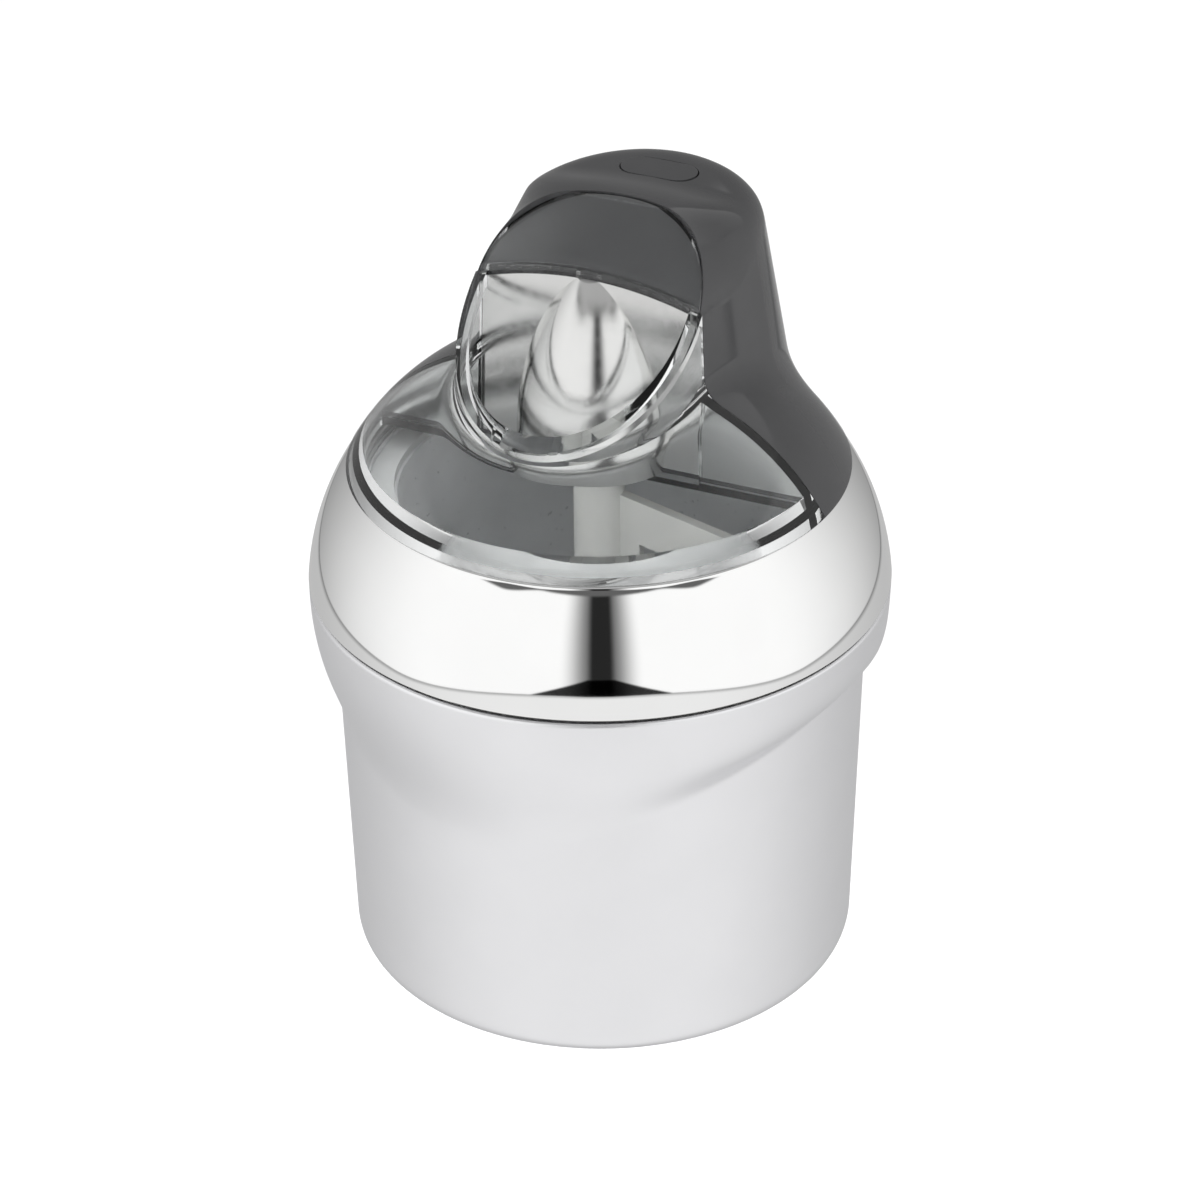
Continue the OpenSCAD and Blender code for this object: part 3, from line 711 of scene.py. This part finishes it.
def make_world():
    """Two wide soft boxes over a pale table, with a dark gap between them where the camera stands."""
    world = bpy.data.worlds.new("studio")
    bpy.context.scene.world = world
    world.use_nodes = True
    tree = world.node_tree
    tree.nodes.clear()
    m = Maths(tree)
    coords = tree.nodes.new("ShaderNodeTexCoord")
    split = tree.nodes.new("ShaderNodeSeparateXYZ")
    tree.links.new(coords.outputs["Generated"], split.inputs[0])
    x, y, z = split.outputs
    a = math.radians(CAM_AZIMUTH)
    ahead = m("SUBTRACT", m("MULTIPLY", x, math.sin(a)), m("MULTIPLY", y, math.cos(a)))
    aside = m("ADD", m("MULTIPLY", x, math.cos(a)), m("MULTIPLY", y, math.sin(a)))
    # both angles in degrees, the first away from the camera's own direction
    angle = m("MULTIPLY", m("ABSOLUTE", m("ARCTAN2", aside, ahead)), 180 / math.pi)
    rise = m("MULTIPLY", m("ARCSINE", z), 180 / math.pi)

    table_edge = m.smooth(angle, 10.0, 85.0, TABLE_EDGE[0], TABLE_EDGE[1])
    shadow_line = m("MULTIPLY_ADD", m("MAXIMUM", m("SUBTRACT", angle, 5.0), 0.0), -0.41, -3.5)
    box_foot = m("MAXIMUM", table_edge, shadow_line)
    boxes = m.smooth(angle, 65.0, 170.0, *BOX_LIGHT)
    gap = m("MULTIPLY_ADD", m.smooth(angle, 4.0, 16.0), 0.84, m.smooth(angle, 3.0, 6.0, 0.02, 0.16))
    lit = m("MULTIPLY", m("MULTIPLY", boxes, gap),
            m.smooth(m("SUBTRACT", rise, box_foot), -0.4, 0.6, 0.03, 1.0))
    # above the boxes a dark band at the front, a dim ceiling, and a bright backdrop behind
    front = m.smooth(angle, 60.0, 120.0, 1.0, 0.0)
    top = m.smooth(angle, 25.0, 45.0, 33.0, 29.0)
    over = m.smooth(m("SUBTRACT", rise, top), -0.5, 0.8)
    ceiling = m.smooth(rise, 46.0, 62.0, 0.62, CEILING)
    above = m("MULTIPLY", ceiling, m.smooth(m("SUBTRACT", rise, top), 2.0, 6.0, 0.25, 1.0))
    behind = m.smooth(rise, 40.0, 66.0, 1.0, CEILING)
    high = m("ADD", m("MULTIPLY", above, front), m("MULTIPLY", behind, m("SUBTRACT", 1.0, front)))
    room = m("ADD", m("MULTIPLY", lit, m("SUBTRACT", 1.0, over)), m("MULTIPLY", high, over))
    table = m("MULTIPLY", m.smooth(angle, 35.0, 150.0, *TABLE_LIGHT),
              m.smooth(m("SUBTRACT", table_edge, rise), 0.0, 1.5, 0.55, 1.0))
    on_table = m.smooth(m("SUBTRACT", table_edge, rise), -0.2, 0.3)
    level = m("ADD", m("MULTIPLY", table, on_table), m("MULTIPLY", room, m("SUBTRACT", 1.0, on_table)))
    rays = tree.nodes.new("ShaderNodeLightPath")
    seen = rays.outputs["Is Camera Ray"]
    background = tree.nodes.new("ShaderNodeBackground")
    # matt surfaces get more, above all those under the clear lid, which the lamps do not shine through
    matt = rays.outputs["Is Diffuse Ray"]
    under_lid = m("MULTIPLY", m("MINIMUM", rays.outputs["Diffuse Depth"], 1.0), m("SUBTRACT", 1.0, matt))
    open_fill = m("MULTIPLY", matt, m.smooth(rise, 30.0, 60.0, *OPEN_FILL))
    fill = m("MULTIPLY_ADD", under_lid, LID_FILL, open_fill)
    final = m("ADD", m("MULTIPLY", m("ADD", level, fill), m("SUBTRACT", 1.0, seen)), seen)
    tree.links.new(final, background.inputs["Strength"])
    out = tree.nodes.new("ShaderNodeOutputWorld")
    tree.links.new(background.outputs[0], out.inputs["Surface"])


def make_floor():
    """A pale floor that keeps the shadow, and lets mirrors see the room."""
    bpy.ops.mesh.primitive_plane_add(size=8.0, location=(0, 0, 0))
    floor = bpy.context.object
    floor.name = "floor"
    mat, shader = new_material("floor")
    tree = mat.node_tree
    pale = ramp(mat, noise(mat, 3.0), (0.86, 0.86, 0.86), (0.88, 0.88, 0.88))
    link(mat, pale, shader.inputs["Base Color"])
    shader.inputs["Roughness"].default_value = 0.9
    glow = node(mat, "ShaderNodeEmission", Strength=0.2)
    both = node(mat, "ShaderNodeAddShader")
    link(mat, shader.outputs[0], both.inputs[0])
    link(mat, glow.outputs[0], both.inputs[1])
    rays = node(mat, "ShaderNodeLightPath")
    m = Maths(tree)
    seen = m("MAXIMUM", rays.outputs["Is Camera Ray"], rays.outputs["Is Transmission Ray"])
    lit = node(mat, "ShaderNodeMixShader")
    link(mat, seen, lit.inputs[0])
    link(mat, shader.outputs[0], lit.inputs[1])
    link(mat, both.outputs[0], lit.inputs[2])
    through = node(mat, "ShaderNodeBsdfTransparent")
    top = node(mat, "ShaderNodeMixShader")
    link(mat, rays.outputs["Is Glossy Ray"], top.inputs[0])
    link(mat, lit.outputs[0], top.inputs[1])
    link(mat, through.outputs[0], top.inputs[2])
    link(mat, top.outputs[0], tree.nodes["Material Output"].inputs["Surface"])
    floor.data.materials.append(mat)


def soft_box(name, azimuth, elevation, distance, size, power):
    """An area lamp aimed at the object; azimuth is from the front towards +X."""
    a, e = math.radians(azimuth), math.radians(elevation)
    place = Vector((math.sin(a) * math.cos(e), -math.cos(a) * math.cos(e), math.sin(e))) * distance
    data = bpy.data.lights.new(name, "AREA")
    data.shape = "RECTANGLE"
    data.size = data.size_y = size
    data.energy = power
    lamp = bpy.data.objects.new(name, data)
    lamp.location = place + Vector((0, 0, 0.14))
    lamp.rotation_euler = (-place).to_track_quat("-Z", "Y").to_euler()
    lamp.visible_glossy = False
    lamp.visible_transmission = False
    bpy.context.collection.objects.link(lamp)


make_camera()
make_world()
make_floor()
soft_box("left_box", CAM_AZIMUTH - 55, 35, 1.8, 1.1, 3)
soft_box("right_box", CAM_AZIMUTH + 60, 30, 1.8, 1.1, 2)
soft_box("top_box", CAM_AZIMUTH + 160, 65, 1.8, 1.2, 3)
bpy.context.scene.view_settings.view_transform = "Standard"
